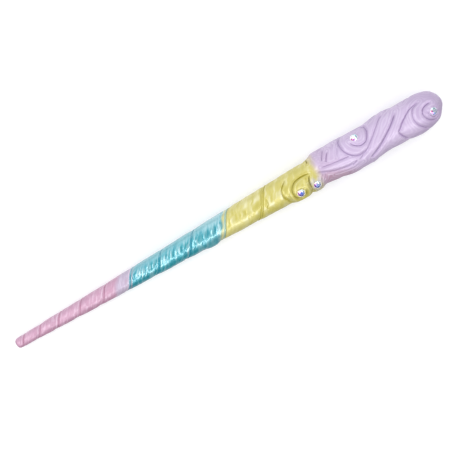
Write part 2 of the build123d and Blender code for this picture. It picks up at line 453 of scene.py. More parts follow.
def line_distance(points, line):
    """Each point's distance to a line, how far along it the nearest point is, and the line's length."""
    best = np.full(len(points), np.inf)
    where = np.zeros(len(points))
    travelled = 0.0
    for start, stop in zip(line[:-1], line[1:]):
        run = stop - start
        length = float(np.linalg.norm(run))
        t = np.clip((points - start) @ run / length**2, 0, 1)
        gap = np.linalg.norm(points - start - t[:, None] * run, axis=1)
        nearer = gap < best
        best[nearer] = gap[nearer]
        where[nearer] = travelled + t[nearer] * length
        travelled += length
    return best, where, travelled


def round_valley(gap, reach):
    """A valley between two round strands: 1 in its middle, and 0 from its reach outwards."""
    inward = 1 - np.clip(gap / reach, 0, 1)
    return 1 - np.sqrt(np.clip(1 - inward**2, 0, 1))


def carve(points):
    """How deep the lines cut into the body, how sharp the crease is, and the distance the grain follows."""
    valley, crease, grain = np.zeros((3, len(points)))
    for line in LINES:
        low, high = line.points.min(axis=0), line.points.max(axis=0)
        near = np.all((points > low - GRAIN_REACH) & (points < high + GRAIN_REACH), axis=1)
        if not near.any():
            continue
        gap, along, length = line_distance(points[near], line.points)
        weight = np.clip(along / line.fade_in, 0, 1) * np.clip((length - along) / line.fade_out, 0, 1)
        weight = weight * (2 - weight)
        valley[near] += (line.depth * weight * round_valley(gap, line.reach)) ** VALLEY_POWER
        # The crease along each line, which the paint darkens as painted shade.
        sharp = min(1.0, line.depth) * weight * bump(gap, CREASE_WIDTH * max(1.0, line.depth))
        crease[near] = np.maximum(crease[near], sharp)
        if line.grain:
            grain[near] += (1 / (gap + GRAIN_SOFTNESS)) ** GRAIN_POWER
    distance = np.where(grain > 0, np.maximum(grain, TINY) ** (-1 / GRAIN_POWER), NO_GRAIN)
    return valley ** (1 / VALLEY_POWER), crease, distance


# ---- the wound shaft

BEAD_START = 5.7
BEAD_PITCH = 11.89
BEAD_STRETCH = 0.978
BEFORE_START = -20
PINK_END_TURN = 5
AQUA_END_TURN = 8
TWIN_LINE_TURN = 9
HIDDEN_TURN = 10

# Where along the shaft the bead rises from the tip and where it ends, and the side on which the scrolls cover
# its last turn: an angle, and how far to either side of it.
FIRST_BEAD = (2.0, 6.0)
LAST_BEAD = (226.0, 233.0)
SCROLL_SIDE = -0.35
SCROLL_COVER = (1.25, 1.6)

# The bead's cross-section at full size; a value for the tip's side of it comes before one for the butt's.
BEAD_HALF_WIDTH = 0.72
BEAD_HEIGHT = 0.40
BEAD_SIZES = ((3, 10), (0.62, 1.0))  # shaft radii, and the bead's sizes there
UNEVEN = 0.35
UNEVEN_NOISE = (14, 1.3, 3)
VALLEY_DEPTH = 0.58
VALLEY_SLACK = (2.1, 1.0)
VALLEY_FALL = 1.3
# The small groove along each edge of the bead, which the paint darkens further as painted shade.
EDGE_DEPTH = 0.14
EDGE_WIDTH = 0.22
EDGE_STRENGTH = (0.35, 1.0)
TWIN_EDGE_WIDTH = 0.32
TWIN_EDGE_STRENGTH = (1.1, 1.0)
STAIN_WIDTH = 0.75
# A painted highlight line on the tip's side of each bead, fainter on the aqua.
SHINE_PLACE = 1.9
SHINE_WIDTH = 0.55
SHINE = 0.9
AQUA_SHINE = 0.4

Winding = namedtuple("Winding", "lift crease shine phase gap shown")


def bead_turns(x):
    """How many turns of the bead there are before x, at the front."""
    ahead = np.maximum(x - BEAD_START, BEFORE_START)
    return (np.sqrt(BEAD_PITCH**2 + 4 * BEAD_STRETCH * ahead) - BEAD_PITCH) / (2 * BEAD_STRETCH)


def bead_shown(x, angle, turn):
    """1 where a turn of the bead shows, and 0 before the tip, past the shaft and under the scrolls."""
    shown = 1 - smoothstep(*LAST_BEAD, x)
    shown = shown * np.where(turn >= 1, 1.0, np.where(turn == 0, smoothstep(*FIRST_BEAD, x), 0.0))
    covered = 1 - smoothstep(*SCROLL_COVER, np.abs(wrapped(angle - SCROLL_SIDE)))
    shown = shown * np.where(turn == HIDDEN_TURN, 1 - covered, 1.0)
    return shown * np.where(turn > HIDDEN_TURN, 0.0, 1.0)


def wound_shaft(x, angle, radius):
    """The shaft's winding: its lift; its dark lines, painted shade beside the bead and darker paint on the
    aqua's bead; its painted highlight lines; its phase; and the distance to its bead.
    """
    phase = bead_turns(x) - angle / (2 * np.pi)
    nearest = np.round(phase)
    pitch = BEAD_PITCH + 2 * BEAD_STRETCH * np.maximum(phase, 0)
    girth = 2 * np.pi * np.maximum(radius, 1)
    gap = (phase - nearest) * pitch * girth / np.hypot(pitch, girth)
    shown = bead_shown(x, angle, nearest)
    size = np.interp(radius, *BEAD_SIZES)
    half = BEAD_HALF_WIDTH * size
    beside = np.maximum(np.abs(gap) - half, 0)
    before = gap < 0
    uneven = 1 + UNEVEN * round_noise(x, angle, *UNEVEN_NOISE)
    slack = np.where(before, *VALLEY_SLACK) * size
    valley = VALLEY_DEPTH * size * uneven * np.exp(-((beside / slack) ** VALLEY_FALL))
    cord = BEAD_HEIGHT * size * np.sqrt(np.clip(1 - (gap / half) ** 2, 0, 1))
    twin = nearest == TWIN_LINE_TURN
    width = np.where(twin, TWIN_EDGE_WIDTH, EDGE_WIDTH)
    strength = np.where(twin, np.where(before, *TWIN_EDGE_STRENGTH), np.where(before, *EDGE_STRENGTH))
    # The groove at the bead's edges, which the paint darkens as painted shade.
    edge = bump(np.abs(gap) - half, width) * strength
    on_aqua = (nearest > PINK_END_TURN) & (nearest < AQUA_END_TURN)
    stain = bump(gap, STAIN_WIDTH * half) * on_aqua
    # A painted highlight line on the tip's side of the bead.
    shine = np.where(on_aqua, AQUA_SHINE, SHINE) * bump(gap + SHINE_PLACE * half, SHINE_WIDTH * half)
    shine = shine * (nearest < TWIN_LINE_TURN)
    lift = cord - valley - EDGE_DEPTH * edge
    return Winding(shown * lift, shown * np.maximum(edge, stain), shown * shine, phase, gap, shown)


# ---- strokes of the brush

# The straight, fine and wavy strokes: how many there are to a turn of the bead, cells to the wand's radius,
# how far along the wand they drift by a cell, and a seed.
STRAIGHT_STROKES = (22, 1.4, 15, 11)
FINE_STROKES = (32, 2, 11, 12)
WAVY_STROKES = (20, 2.2, 9, 13)
BEND = 0.03
BEND_NOISE = (3.5, 3, 14)
WAVE = 0.02
WAVE_NOISE = (2, 4, 18)

# Where the strokes change along the shaft; for each paint, how strong its straight, fine and wavy strokes are
# and how high they stand; and where they are calmer, by the strength and by the sines of two angles.
AQUA_FROM = (80, 90)
YELLOW_FROM = (158, 166)
PINK_MIX, PINK_STROKE_HEIGHT = (0.0, 0.6, 0.3), 0.07
AQUA_MIX, AQUA_STROKE_HEIGHT = (1.1, 0.6, 0.0), 0.15
YELLOW_MIX, YELLOW_STROKE_HEIGHT = (0.4, 0.0, 1.1), 0.14
AQUA_CALM_TOP = (0.8, 0.25, 0.75)
YELLOW_CALM_TOP = (0.5, 0.3, 0.8)
CALM_LOW = (0.6, -0.45, -0.65)
BACK_COSINE = -0.5

# The grain beside the carved lines.
GRAIN_STEP = 1.7
GRAIN_BEND = 1.2
GRAIN_BEND_NOISE = (6, 2, 16)
GRAIN_TONE = 0.75
GRAIN_FADE = 7
GRAIN_HEIGHT = 0.10
PATCH_MEAN = 0.65
PATCH_SPREAD = 0.5
PATCH_NOISE = (7, 2.5, 15)


def on_side(angle, low, high):
    """1 on the side of the wand where the angle's sine is past high, 0 before low, and 0 round the back."""
    return smoothstep(low, high, np.sin(angle)) * (np.cos(angle) > BACK_COSINE)


def calmer(angle, strength, low, high):
    """1, and less by the strength on one side of the wand."""
    return 1 - strength * on_side(angle, low, high)


def strokes_along(phase, x, angle, count, around, drift, seed):
    """Strokes that follow the winding."""
    c, s = np.cos(angle), np.sin(angle)
    return noise(phase * count, c * around + x / drift, s * around, seed, wrap=count)


def hand_strokes(x, angle, phase, grain, on_grip):
    """Brush-like strokes, from -1 to 1 or so, and their height, on the winding and beside the lines."""
    bent = phase + BEND * round_noise(x, angle, *BEND_NOISE)
    waved = bent + WAVE * round_noise(x, angle, *WAVE_NOISE)
    straight = strokes_along(bent, x, angle, *STRAIGHT_STROKES)
    fine = strokes_along(phase, x, angle, *FINE_STROKES)
    wavy = strokes_along(waved, x, angle, *WAVY_STROKES)

    def mixed(mix):
        return mix[0] * straight + mix[1] * fine + mix[2] * wavy

    pink, yellow = 1 - smoothstep(*AQUA_FROM, x), smoothstep(*YELLOW_FROM, x)
    aqua = band(x, AQUA_FROM, YELLOW_FROM)
    calm_low = calmer(angle, *CALM_LOW)
    shaft = pink * mixed(PINK_MIX)
    shaft = shaft + aqua * mixed(AQUA_MIX) * calmer(angle, *AQUA_CALM_TOP) * calm_low
    shaft = shaft + yellow * mixed(YELLOW_MIX) * calmer(angle, *YELLOW_CALM_TOP) * calm_low
    depth = pink * PINK_STROKE_HEIGHT + aqua * AQUA_STROKE_HEIGHT + yellow * YELLOW_STROKE_HEIGHT
    patch = PATCH_MEAN + PATCH_SPREAD * round_noise(x, angle, *PATCH_NOISE)
    rings = np.sin(2 * np.pi * grain / GRAIN_STEP + GRAIN_BEND * round_noise(x, angle, *GRAIN_BEND_NOISE))
    rings = GRAIN_TONE * rings * np.exp(-grain / GRAIN_FADE) * patch
    tone = shaft * (1 - on_grip) + rings * on_grip
    return tone, tone * (depth * (1 - on_grip) + GRAIN_HEIGHT * on_grip)


# ---- the sculpted surface

# How far each scroll's place rises, between which distances from its eye, and how distance counts below it.
Rise = namedtuple("Rise", "height inner outer drop")
RISES = {
    "grip": Rise(0.7, 4.0, 12.5, 1.0),
    "butt": Rise(0.5, 4.0, 10.5, 1.0),
    "collar": Rise(1.7, 5.0, 9.6, 0.58),
    "small": Rise(1.5, 3.0, 7.0, 0.5),
}
SCROLL_OUTSIDE = 1.5
SCROLL_INSIDE = 1.0

SEAT_FLAT = 2.75
SEAT_BLEND = 3.9
SEAT_HEIGHT = 0.05
SEAT_FACING = 0.2

LUMPS = ((0.16, (9, 1.6, 5)), (0.08, (4, 3, 6)))
LUMPS_FROM = (0, 20)
SCROLL_CALM = 0.5

# A flap of the winding that stands out at the side of the aqua section.
FLAP_X = 149.5
FLAP_HALF_LENGTH = 4.6
FLAP_POWER = 4
FLAP_HEIGHT = 1.0
FLAP_ANGLE = -1.45
FLAP_SPREAD = 0.36
FLAP_EDGE = 0.5
FLAP_EDGE_WIDTH = 0.6
FLAP_EDGE_ANGLE = -1.2
FLAP_EDGE_SPREAD = 0.5

GRIP_FROM = (226, 236)
CREASE_CALM = 0.75
CREASE_DEPTH = 0.22
BEAD_CLEAR = 1.1
FULL_HOLLOW = 1.1


def scroll_rises(base, normal):
    """How far the scrolls' places rise out of the body, and how near a scroll is, from 0 to 1."""
    rise, near_scroll = np.zeros((2, len(base)))
    for name, (height, inner, outer, drop) in RISES.items():
        right, up, _ = from_eye(name, base).T
        ring = np.hypot(right, up * np.where(up < 0, drop, 1.0))
        facing = normal @ AXES[name][2] > 0
        rise = np.maximum(rise, height * smoothstep(outer, inner, ring) * facing)
        nearness = smoothstep(outer + SCROLL_OUTSIDE, outer - SCROLL_INSIDE, ring)
        near_scroll = np.maximum(near_scroll, nearness * facing)
    return rise, near_scroll


def flap(x, turn):
    """The flap's lift, and the line round it, which the paint darkens as painted shade."""
    along = (x - FLAP_X) / FLAP_HALF_LENGTH
    lift = FLAP_HEIGHT * np.exp(-(along**FLAP_POWER)) * bump(turn - FLAP_ANGLE, FLAP_SPREAD)
    edge = bump(np.abs(x - FLAP_X) - FLAP_HALF_LENGTH, FLAP_EDGE_WIDTH)
    return lift, edge * bump(turn - FLAP_EDGE_ANGLE, FLAP_EDGE_SPREAD)


def seated(base, normal, offset):
    """The surface's offset from the body, made flat under each stone."""
    for name, (_, _, outward) in AXES.items():
        right, up, out = from_eye(name, base).T
        seat = smoothstep(SEAT_BLEND, SEAT_FLAT, np.hypot(right, up)) * (normal @ outward > SEAT_FACING)
        offset = offset * (1 - seat)[:, None] + (seat * (SEAT_HEIGHT - out))[:, None] * outward
    return offset


def sculpt(station, angle):
    """Points of the finished surface, in millimetres, the body's normals, and the values its paint needs."""
    base = body(station, angle)
    normal = body_normal(station, angle)
    x, y, z = base.T
    turn = wrapped(angle)
    winding = wound_shaft(x, turn, np.hypot(y, z))
    valley, cut, grain = carve(base)
    rise, near_scroll = scroll_rises(base, normal)
    on_grip = np.maximum(smoothstep(*GRIP_FROM, x), near_scroll)
    tone, strokes = hand_strokes(x, turn, winding.phase, grain, on_grip)
    calm = 1 - CREASE_CALM * np.maximum(winding.crease, cut)
    clear = 1 - bump(winding.gap, BEAD_CLEAR) * winding.shown
    lumps = sum(height * round_noise(x, turn, *cells) for height, cells in LUMPS)
    lumps = lumps * smoothstep(*LUMPS_FROM, x) * (1 - SCROLL_CALM * near_scroll)
    flap_lift, flap_edge = flap(x, turn)
    height = winding.lift * (1 - near_scroll) + rise + lumps + flap_lift + strokes * calm * clear
    height = height - valley - CREASE_DEPTH * cut
    offset = seated(base, normal, normal * height[:, None])
    # Creases that the paint darkens as painted shade, with the aqua bead's darker paint.
    crease = np.maximum(np.maximum(winding.crease * (1 - near_scroll), cut), FLAP_EDGE * flap_edge)
    values = {
        "points": base,
        "x": x,
        "turn": turn,
        "phase": winding.phase,
        "gap": winding.gap,
        "crease": crease,
        # Carved hollows, which the paint darkens as painted shade.
        "hollow": np.clip(valley / FULL_HOLLOW, 0, 1),
        # Stroke tone, with the painted highlight lines beside the beads added.
        "tone": tone * calm * clear + winding.shine * (1 - near_scroll),
    }
    return base + offset, normal, values


# ---- paint

# The pink, aqua, yellow and lilac paints: each one's colour; its darker colour, painted as shade in the
# carving and creases and used by dark strokes; its paler colour, on the crests of strokes, in white wear,
# and painted as highlights and sheen; how strongly the painted shade in creases and hollows and the dark
# strokes deepen it; and its metallic, roughness and varnish.
Paint = namedtuple("Paint", "main deep light cut hollow strokes metallic rough varnish")
PAINTS = (
    Paint((0.54, 0.305, 0.425), (0.40, 0.155, 0.25), (0.80, 0.62, 0.74), 0.95, 0.55, 0.25, 0.15, 0.45, 0.20),
    Paint((0.02, 0.37, 0.44), (0.0005, 0.25, 0.35), (0.56, 0.78, 0.82), 1.0, 0.35, 0.65, 0.35, 0.32, 0.90),
    Paint((0.61, 0.54, 0.135), (0.40, 0.34, 0.01), (0.82, 0.78, 0.48), 0.95, 0.95, 0.30, 0.15, 0.38, 0.32),
    Paint((0.58, 0.46, 0.65), (0.22, 0.12, 0.32), (0.76, 0.69, 0.82), 0.62, 0.45, 0.22, 0.10, 0.45, 0.25),
)
PAINT_STEPS = len(PAINTS) - 1
PALE = (0.47, 0.46, 0.58)
WARM = (0.45, 0.265, 0.35)

CLOUD_NOISE = (5, 2, 21)
MOTTLE_NOISE = (2.2, 5, 22)

# Where one paint gives way to the next: in turns after a bead, or along the wand.
PINK_TO_AQUA = (-0.055, -0.015)
PINK_TO_AQUA_MOTTLE = 0.01
AQUA_TO_YELLOW = (-0.15, -0.03)
AQUA_TO_YELLOW_CLOUD = 0.03
AQUA_ON_BEAD = 0.75
YELLOW_TO_LILAC = (230.0, 237.5)
LILAC_CLOUD = 1.2
LILAC_MOTTLE = 0.6

# White wear in the paint before the yellow and on its bead, over the aqua's end and the yellow's first turn,
# and a painted sheen of light along the aqua's upper side. Ranges are in turns after the bead where the aqua
# ends, or sines of an angle.
WORN, WORN_TURN, WORN_WIDTH = 0.6, -0.17, 0.12
WORN_MEAN, WORN_MOTTLE = 0.7, 0.5
WORN_BEAD = 0.35
END_VEIL, END_VEIL_RISE, END_VEIL_FALL = 0.3, (-1.1, -0.3), (-0.1, 0.0)
TOP_PAINTED_SHEEN, TOP_PAINTED_SHEEN_SIDE = 0.3, (0.25, 0.7)
FIRST_YELLOW, FIRST_YELLOW_RISE, FIRST_YELLOW_FALL = 0.22, (0.0, 0.1), (0.7, 1.0)
TONE_ON_WORN = 0.5

# Pale lilac sprayed over the last of the pink, in turns after the bead where the pink ends, and the pale ring
# round the small scroll's stone.
OVERSPRAY, OVERSPRAY_RISE, OVERSPRAY_FALL = 0.7, (-0.62, -0.34), (-0.04, 0.02)
OVERSPRAY_CLOUD, OVERSPRAY_TONE = 0.10, 0.35
PALE_RING, PALE_RING_RADIUS, PALE_RING_WIDTH = 0.75, 3.6, 2.0
PALE_MEAN, PALE_MOTTLE = 0.6, 0.6
PALE_CREASE = 0.8

# Mauve on the lower side of the grip's start, over all of that start, and as a line past the pink's bead.
MAUVE, MAUVE_RISE, MAUVE_FALL = 0.85, (232, 238), (248, 276)
MAUVE_SLOPE, MAUVE_START, MAUVE_DROP, MAUVE_CLOUD, MAUVE_BLEND = 0.3, 236, 11.0, 0.8, 6.5
MAUVE_BACK = (-0.4, 0.1)
START_MAUVE, START_MAUVE_FALL = 0.15, (240, 254)
LINE_MAUVE, LINE_MAUVE_GAP, LINE_MAUVE_WIDTH = 0.65, 1.3, 0.5

# Painted shade along the pink's lower side, and darker paint on the aqua's first turn and on the butt's knob.
LOW_PINK_SHADE, LOW_PINK_SHADE_SIDE = 0.8, (-0.5, -0.95)
FIRST_AQUA, FIRST_AQUA_FALL = 0.9, (0.6, 0.9)
KNOB, KNOB_FROM = 0.4, (304, 312)


def hue_changes(v):
    """How far the aqua, the yellow and the lilac have each taken over, and where the aqua's last bead is."""
    to_aqua = v["phase"] - PINK_END_TURN + PINK_TO_AQUA_MOTTLE * v["mottle"]
    to_yellow = v["phase"] - AQUA_END_TURN + AQUA_TO_YELLOW_CLOUD * v["cloud"]
    to_lilac = v["x"] + LILAC_CLOUD * v["cloud"] + LILAC_MOTTLE * v["mottle"]
    on_bead = bump(v["gap"], BEAD_HALF_WIDTH) * (np.round(v["phase"]) == AQUA_END_TURN)
    return {
        "to_aqua": smoothstep(*PINK_TO_AQUA, to_aqua),
        "to_yellow": smoothstep(*AQUA_TO_YELLOW, to_yellow) * (1 - AQUA_ON_BEAD * on_bead),
        "to_lilac": smoothstep(*YELLOW_TO_LILAC, to_lilac),
        "on_bead": on_bead,
    }


def white_wear_and_painted_sheen(v):
    """How much white the paint shows from wear, with the painted sheen of light on the aqua's upper side."""
    after = v["phase"] - AQUA_END_TURN
    before_yellow = WORN * bump(after - WORN_TURN, WORN_WIDTH) * (WORN_MEAN + WORN_MOTTLE * v["mottle"])
    end_veil = END_VEIL * band(after, END_VEIL_RISE, END_VEIL_FALL)
    # A painted sheen of pale light along the aqua's upper side.
    top_painted_sheen = TOP_PAINTED_SHEEN * on_side(v["turn"], *TOP_PAINTED_SHEEN_SIDE) * v["to_aqua"] * (1 - v["to_yellow"])
    first_yellow = FIRST_YELLOW * band(after, FIRST_YELLOW_RISE, FIRST_YELLOW_FALL)
    return np.maximum(before_yellow + WORN_BEAD * v["on_bead"], end_veil + top_painted_sheen + first_yellow)


def pale(v):
    """How much pale lilac lies over the paint."""
    after = v["phase"] - PINK_END_TURN
    spray = smoothstep(*OVERSPRAY_RISE, after + OVERSPRAY_CLOUD * v["cloud"])
    spray = spray * (1 - smoothstep(*OVERSPRAY_FALL, after)) * (1 + OVERSPRAY_TONE * v["tone"])
    right, up, _ = from_eye("small", v["points"]).T
    ring = bump(np.hypot(right, up) - PALE_RING_RADIUS, PALE_RING_WIDTH) * (np.cos(v["turn"]) > 0)
    ring = ring * (PALE_MEAN + PALE_MOTTLE * v["mottle"])
    return np.maximum(OVERSPRAY * spray, PALE_RING * ring) * (1 - PALE_CREASE * v["crease"])


def warm(v):
    """How much mauve lies over the paint."""
    x = v["x"]
    below = MAUVE_CLOUD * v["cloud"] - MAUVE_SLOPE * (x - MAUVE_START) - MAUVE_DROP * np.sin(v["turn"])
    lower = MAUVE * band(x, MAUVE_RISE, MAUVE_FALL) * smoothstep(0, MAUVE_BLEND, below)
    lower = lower * smoothstep(*MAUVE_BACK, np.cos(v["turn"]))
    start = START_MAUVE * (1 - smoothstep(*START_MAUVE_FALL, x)) * v["to_lilac"]
    line = LINE_MAUVE * bump(v["gap"] - LINE_MAUVE_GAP, LINE_MAUVE_WIDTH)
    line = line * (np.round(v["phase"]) == PINK_END_TURN)
    return np.maximum(np.maximum(lower, start), line)


def painted_shade_and_darker_paint(v):
    """How much darker the paint is over whole areas: painted shade low on the pink, darker paint elsewhere.
    """
    # Painted shade along the pink's lower side.
    low_pink_shade = LOW_PINK_SHADE * smoothstep(*LOW_PINK_SHADE_SIDE, np.sin(v["turn"])) * (1 - v["to_aqua"])
    first_aqua = 1 - smoothstep(*FIRST_AQUA_FALL, v["phase"] - PINK_END_TURN)
    first_aqua = FIRST_AQUA * v["to_aqua"] * first_aqua
    return np.maximum(np.maximum(low_pink_shade, first_aqua), KNOB * smoothstep(*KNOB_FROM, v["x"]))


def paint_values(values):
    """The attributes that the paint reads: hue from 0 for pink to 1 for lilac, and what lies over it."""
    v = dict(values)
    v["cloud"] = round_noise(v["x"], v["turn"], *CLOUD_NOISE)
    v["mottle"] = round_noise(v["x"], v["turn"], *MOTTLE_NOISE)
    v.update(hue_changes(v))
    return {
        "hue": (v["to_aqua"] + v["to_yellow"] + v["to_lilac"]) / PAINT_STEPS,
        "pale": np.clip(pale(v), 0, 1),
        "warm": np.clip(warm(v), 0, 1),
        # Creases, darkened in the paint as painted shade.
        "crease": np.clip(v["crease"], 0, 1),
        # Carved hollows and the pink's lower side, darkened as painted shade, and darker paint in places.
        "hollow": np.maximum(v["hollow"], painted_shade_and_darker_paint(v)),
        # Stroke crests and white wear, with the painted highlight lines and the aqua's painted sheen.
        "light": np.clip(np.maximum(v["tone"], white_wear_and_painted_sheen(v) + TONE_ON_WORN * v["tone"]), 0, 1),
        "dark": np.clip(-v["tone"], 0, 1),
    }


# ---- pieces

FINE = 1.0
FRONT_CROWDING = 0.3
CAP_INSET = 0.3
POLE_START = 0.12
POLE_LIMIT = 0.03
SEAM_CLEAR = 0.5

# The x where each section starts and ends, its columns along the wand, its rows round it, and its slot.
Section = namedtuple("Section", "name start stop columns rows slot")
SECTIONS = [
    Section("tip_section", None, 89.6, 490, 164, "pink_pearl"),
    Section("middle_section", 89.6, 163.7, 385, 236, "aqua_pearl"),
    Section("upper_section", 163.7, 234.0, 340, 280, "yellow_pearl"),
    Section("grip", 234.0, None, 330, 288, "lilac_pearl"),
]


def grid(start, stop, columns, rows):
    """Stations and angles of a section's grid, with a spare column beyond each end and crowded front rows."""
    low = POLE_START if start is None else station_of(start)
    high = STATION_END - POLE_START if stop is None else station_of(stop)
    step = (high - low) / (columns - 1)
    stations = low + step * np.arange(-1, columns + 1)
    stations = np.clip(stations, POLE_LIMIT, STATION_END - POLE_LIMIT)
    turns = np.arange(rows) / rows
    angles = 2 * np.pi * turns - FRONT_CROWDING * np.sin(2 * np.pi * turns)
    s, a = np.meshgrid(stations, angles, indexing="ij")
    return s.ravel(), a.ravel()


def grid_normals(points, rows):
    """Outward normals at all of a grid's points but its two spare columns."""
    p = points.reshape(-1, rows, 3)
    along = p[2:] - p[:-2]
    around = np.roll(p, -1, axis=1)[1:-1] - np.roll(p, 1, axis=1)[1:-1]
    normal = np.cross(along, around).reshape(-1, 3)
    return normal / np.linalg.norm(normal, axis=-1, keepdims=True)


def grid_faces(columns, rows):
    """Quads joining a grid that closes round the wand."""
    i, j = np.meshgrid(np.arange(columns - 1), np.arange(rows), indexing="ij")
    i, j = i.ravel(), j.ravel()
    k = (j + 1) % rows
    return np.stack((i * rows + j, (i + 1) * rows + j, (i + 1) * rows + k, i * rows + k), axis=1)


def inside(x, y, outline):
    """Whether points lie inside a closed outline, and how far each is from it."""
    within = np.zeros(len(x), bool)
    gap = np.full(len(x), np.inf)
    for (x0, y0), (x1, y1) in zip(outline, np.roll(outline, -1, axis=0)):
        crosses = (y0 > y) != (y1 > y)
        if y1 != y0:
            within ^= crosses & (x < (x1 - x0) * (y - y0) / (y1 - y0) + x0)
        run = np.array((x1 - x0, y1 - y0))
        t = np.clip(((x - x0) * run[0] + (y - y0) * run[1]) / max(run @ run, TINY), 0, 1)
        gap = np.minimum(gap, np.hypot(x - x0 - t * run[0], y - y0 - t * run[1]))
    return within, gap


GRIP_OUTLINE_POINTS = slice(1, 13)
COLLAR_OUTLINE_START = slice(2, None)
COLLAR_OUTLINE_TURN = [(22, 9.4), (36, 12.2)]
COLLAR_OUTLINE_END = slice(1, 5)
SMALL_OUTLINE = [
    (113, 7.4), (129, 6.2), (153, 4.9), (196, 4.1), (240, 4.3), (270, 4.5), (300, 4.1), (332, 3.6),
    (377, 4.6), (393, 6.8), (420, 7.4), (450, 7.4), (473, 7.4),
]
BUTT_OUTLINE_END = [
    (318.0, -11.6), (322.5, -9.6), (325.6, -6.0), (326.8, -2.0), (325.6, 2.4), (322.0, 5.4), (315.2, 6.9),
]


def collar_outline():
    """The collar scroll's outline: its border, then back along the start of its coil."""
    parts = (COLLAR_BORDER[COLLAR_OUTLINE_START], COLLAR_OUTLINE_TURN, COLLAR_COIL[COLLAR_OUTLINE_END])
    return np.concatenate([coil_points("collar", *points) for points in parts])


# Each scroll's outline: unrolled x and arc, or for the butt's x and y as seen from the front.
OUTLINES = {
    "grip": coil_points("grip", *GRIP_COIL[GRIP_OUTLINE_POINTS]),
    "collar": collar_outline(),
    "small": coil_points("small", *SMALL_OUTLINE),
    "butt": smooth_curve(BUTT_BORDER + BUTT_OUTLINE_END, LINE_STEP),
}
SCROLL_HOSTS = {"grip": "grip", "butt": "grip", "collar": "upper_section", "small": "upper_section"}
SCROLL_THICKNESS = 0.9
POCKET_DEPTH = 1.3
POCKET_SLOPE = 1.5
POCKET_EDGE = 0.1


def in_scroll(name, base, turn):
    """Which points of the body belong to a scroll, and how far each is from its outline."""
    if name == "butt":
        within, gap = inside(base[:, 0], base[:, 1], OUTLINES[name])
        return within & (np.cos(turn) > 0), gap
    return inside(base[:, 0], turn * EYES[name].arc_radius, OUTLINES[name])


def make_piece(name, points, faces, attributes, replaced, corner_normals=None):
    """A smooth mesh object from points in millimetres, with its paint, riding on the frame."""
    metres = place(points)
    metres[:, 2] = np.maximum(metres[:, 2], 0)  # nothing goes under the floor
    mesh = bpy.data.meshes.new(name)
    mesh.from_pydata(metres.tolist(), [], [list(map(int, face)) for face in faces])
    for key, values in attributes.items():
        attribute = mesh.attributes.new(key, "FLOAT", "POINT")
        attribute.data.foreach_set("value", np.asarray(values, np.float32))
    mesh.polygons.foreach_set("use_smooth", [True] * len(mesh.polygons))
    mesh.update()
    if corner_normals is not None:
        turned = corner_normals @ np.array((ALONG, ACROSS, OUTWARD))
        mesh.normals_split_custom_set(turned.tolist())
    piece = bpy.data.objects.new(name, mesh)
    bpy.context.scene.collection.objects.link(piece)
    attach(piece, "root")
    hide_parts(replaced)
    return piece


def make_scroll(scroll, section, surface, limits):
    """Makes a scroll from its section's faces; returns it, and how deep its pocket is, from 0 to 1."""
    faces, points, normal, shading, attributes = surface
    middle = section["points"][faces].mean(axis=1)
    chosen, _ = in_scroll(scroll, middle, np.arctan2(middle[:, 1], middle[:, 2]))
    chosen &= (middle[:, 0] > limits[0] + SEAM_CLEAR) & (middle[:, 0] < limits[1] - SEAM_CLEAR)
    kept = np.zeros(len(points), bool)
    kept[faces[~chosen]] = True
    chosen &= ~kept[faces].all(axis=1)
    used = np.zeros(len(points), bool)
    used[faces[chosen]] = True
    inner = used & ~kept
    _, gap = in_scroll(scroll, section["points"], section["turn"])
    sink = smoothstep(0, POCKET_SLOPE, gap + POCKET_EDGE) * inner
    top_number = np.cumsum(used) - 1
    under_number = np.where(inner, used.sum() + np.cumsum(inner) - 1, top_number)
    top, under = faces[chosen], faces[chosen][:, ::-1]
    under_points = points[inner] - normal[inner] * (SCROLL_THICKNESS * sink[inner])[:, None]
    piece = make_piece(
        f"{scroll}_scroll.skin",
        np.concatenate((points[used], under_points)),
        np.concatenate((top_number[top], under_number[under])),
        {key: np.concatenate((values[used], values[inner])) for key, values in attributes.items()},
        f"{scroll}_scroll",
        np.concatenate((shading[top], -normal[under])).reshape(-1, 3),
    )
    return piece, sink


def end_cap(middle, ring, shading, outward, rounded):
    """Triangles from a middle point to a ring of a grid, and the normals of their corners."""
    after = np.roll(ring, -1)
    if outward > 0:
        ring, after = after, ring
    faces = [(middle, a, b) for a, b in zip(ring, after)]
    flat = np.tile((float(outward), 0.0, 0.0), (len(ring), 1))
    sides = (shading[ring], shading[after]) if rounded else (flat, flat)
    return faces, np.stack((flat, *sides), axis=1).reshape(-1, 3)


